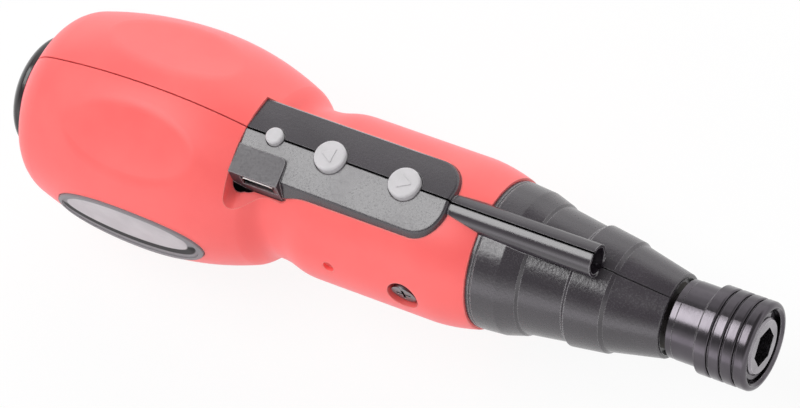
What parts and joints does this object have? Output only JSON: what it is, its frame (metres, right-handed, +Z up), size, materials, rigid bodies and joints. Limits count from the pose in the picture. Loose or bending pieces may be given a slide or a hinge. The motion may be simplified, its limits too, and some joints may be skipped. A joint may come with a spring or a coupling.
{
  "type": "electric screwdriver",
  "caption": "Ball-grip electric screwdriver with a quick-release hex chuck, planetary drive, direction buttons, charging port and work lamp",
  "frame": {"origin": "centre of the hex socket's mouth, on the spindle axis", "axes": "+X forward along the spindle, out of the socket; +Z up through the control panel; +Y left"},
  "size_m": [0.1532, 0.0402, 0.0422],
  "materials": {
    "black_plastic": "fine moulded texture, soft sheen",
    "red_grip": "satin red overmould",
    "plate_metal": "bare satin plate with a dark lower edge",
    "dark_screw": "blackened",
    "grey_button": "light grey, satin",
    "black_steel": "black oxide, polished",
    "bright_steel": "bright plated",
    "spring_steel": "drawn wire",
    "gear_steel": "sintered and oiled",
    "bush_bronze": "dark oil-soaked sintered bronze",
    "gear_nylon": "glass-filled nylon",
    "motor_steel": "zinc plated",
    "moulded_black": "moulded, plain",
    "contact_brass": "tinned",
    "lead_sleeve": "silicone sleeve",
    "cell_wrap": "shrink sleeve",
    "board_green": "solder mask",
    "switch_white": "moulded, plain",
    "lamp_lens": "clear lens"
  },
  "bodies": {
    "housing": {"right_housing": "black_plastic", "left_housing": "black_plastic", "rear_cap": "black_plastic", "right_grip": "red_grip", "left_grip": "red_grip", "label_plate": "plate_metal", "side_screw": "dark_screw", "motor_screws": "dark_screw", "port_shell": "bright_steel", "front_bush": "bush_bronze", "gear_case": "gear_nylon", "mount_plate": "gear_nylon", "motor_can": "motor_steel", "motor_end_cap": "moulded_black", "board_chips": "moulded_black", "port_tongue": "moulded_black", "forward_switch": "moulded_black", "reverse_switch": "moulded_black", "lamp_switch": "moulded_black", "motor_terminals": "contact_brass", "cell_tabs": "contact_brass", "motor_leads": "lead_sleeve", "cell_leads": "lead_sleeve", "lamp_leads": "lead_sleeve", "cell": "cell_wrap", "control_board": "board_green", "lamp_bulb": "lamp_lens"},
    "spindle": {"spindle": "black_steel", "bit_magnet": "bright_steel", "collar_washer": "black_steel", "chuck_washer": "black_steel", "chuck_ring": "black_steel", "chuck_spring": "spring_steel", "output_carrier": "gear_steel", "output_pins": "gear_steel"},
    "sleeve": {"chuck_sleeve": "black_steel"},
    "upper_ball": {"upper_lock_ball": "bright_steel"},
    "lower_ball": {"lower_lock_ball": "bright_steel"},
    "first_carrier": {"first_carrier": "gear_steel", "first_pins": "gear_steel"},
    "rotor": {"motor_shaft": "gear_steel", "motor_pinion": "gear_steel"},
    "forward_key": {"forward_button": "grey_button", "forward_plunger": "switch_white"},
    "reverse_key": {"reverse_button": "grey_button", "reverse_plunger": "switch_white"},
    "lamp_key": {"lamp_button": "grey_button", "lamp_plunger": "switch_white"},
    "first_planet_1": {"first_planet_1": "gear_steel"},
    "first_planet_2": {"first_planet_2": "gear_steel"},
    "first_planet_3": {"first_planet_3": "gear_steel"},
    "output_planet_1": {"output_planet_1": "gear_steel"},
    "output_planet_2": {"output_planet_2": "gear_steel"},
    "output_planet_3": {"output_planet_3": "gear_steel"}
  },
  "joints": [
    {"name": "spindle_spin", "type": "hinge", "parent": "housing", "child": "spindle", "pos_m": [0, 0, 0], "axis": [1, 0, 0], "continuous": true},
    {"name": "first_carrier_spin", "type": "hinge", "parent": "housing", "child": "first_carrier", "pos_m": [-0.0639, 0, 0], "axis": [1, 0, 0], "continuous": true},
    {"name": "rotor_spin", "type": "hinge", "parent": "housing", "child": "rotor", "pos_m": [-0.0639, 0, 0], "axis": [1, 0, 0], "continuous": true},
    {"name": "output_planet_1_spin", "type": "hinge", "parent": "spindle", "child": "output_planet_1", "pos_m": [-0.0551, 0, 0.0054], "axis": [1, 0, 0], "continuous": true},
    {"name": "first_planet_1_spin", "type": "hinge", "parent": "first_carrier", "child": "first_planet_1", "pos_m": [-0.0639, 0, 0.0054], "axis": [1, 0, 0], "continuous": true},
    {"name": "output_planet_2_spin", "type": "hinge", "parent": "spindle", "child": "output_planet_2", "pos_m": [-0.0551, -0.00468, -0.0027], "axis": [1, 0, 0], "continuous": true},
    {"name": "first_planet_2_spin", "type": "hinge", "parent": "first_carrier", "child": "first_planet_2", "pos_m": [-0.0639, -0.00468, -0.0027], "axis": [1, 0, 0], "continuous": true},
    {"name": "output_planet_3_spin", "type": "hinge", "parent": "spindle", "child": "output_planet_3", "pos_m": [-0.0551, 0.00468, -0.0027], "axis": [1, 0, 0], "continuous": true},
    {"name": "first_planet_3_spin", "type": "hinge", "parent": "first_carrier", "child": "first_planet_3", "pos_m": [-0.0639, 0.00468, -0.0027], "axis": [1, 0, 0], "continuous": true},
    {"name": "sleeve_slide", "type": "slide", "parent": "spindle", "child": "sleeve", "axis": [1, 0, 0], "range_m": [0, 0.0026], "stiffness_N_per_m": 800, "springref_m": -0.004, "deforming": ["chuck_spring"]},
    {"name": "upper_ball_slide", "type": "slide", "parent": "spindle", "child": "upper_ball", "axis": [0, 0, 1], "range_m": [0, 0.00095]},
    {"name": "lower_ball_slide", "type": "slide", "parent": "spindle", "child": "lower_ball", "axis": [0, 0, -1], "range_m": [0, 0.00095]},
    {"name": "forward_press", "type": "slide", "parent": "housing", "child": "forward_key", "axis": [0, 0, 1], "range_m": [-0.0006, 0], "stiffness_N_per_m": 600, "springref_m": 0.002},
    {"name": "reverse_press", "type": "slide", "parent": "housing", "child": "reverse_key", "axis": [0, 0, 1], "range_m": [-0.0006, 0], "stiffness_N_per_m": 600, "springref_m": 0.002},
    {"name": "lamp_press", "type": "slide", "parent": "housing", "child": "lamp_key", "axis": [0, 0, 1], "range_m": [-0.0006, 0], "stiffness_N_per_m": 600, "springref_m": 0.002}
  ],
  "couplings": [
    {"joint": "first_carrier_spin", "follows": "spindle_spin", "ratio": 6},
    {"joint": "rotor_spin", "follows": "spindle_spin", "ratio": 36},
    {"joint": "output_planet_1_spin", "follows": "spindle_spin", "ratio": -2.5},
    {"joint": "first_planet_1_spin", "follows": "spindle_spin", "ratio": -15},
    {"joint": "output_planet_2_spin", "follows": "spindle_spin", "ratio": -2.5},
    {"joint": "first_planet_2_spin", "follows": "spindle_spin", "ratio": -15},
    {"joint": "output_planet_3_spin", "follows": "spindle_spin", "ratio": -2.5},
    {"joint": "first_planet_3_spin", "follows": "spindle_spin", "ratio": -15},
    {"joint": "upper_ball_slide", "follows": "sleeve_slide", "ratio": 0.36154},
    {"joint": "lower_ball_slide", "follows": "sleeve_slide", "ratio": 0.36154}
  ]
}
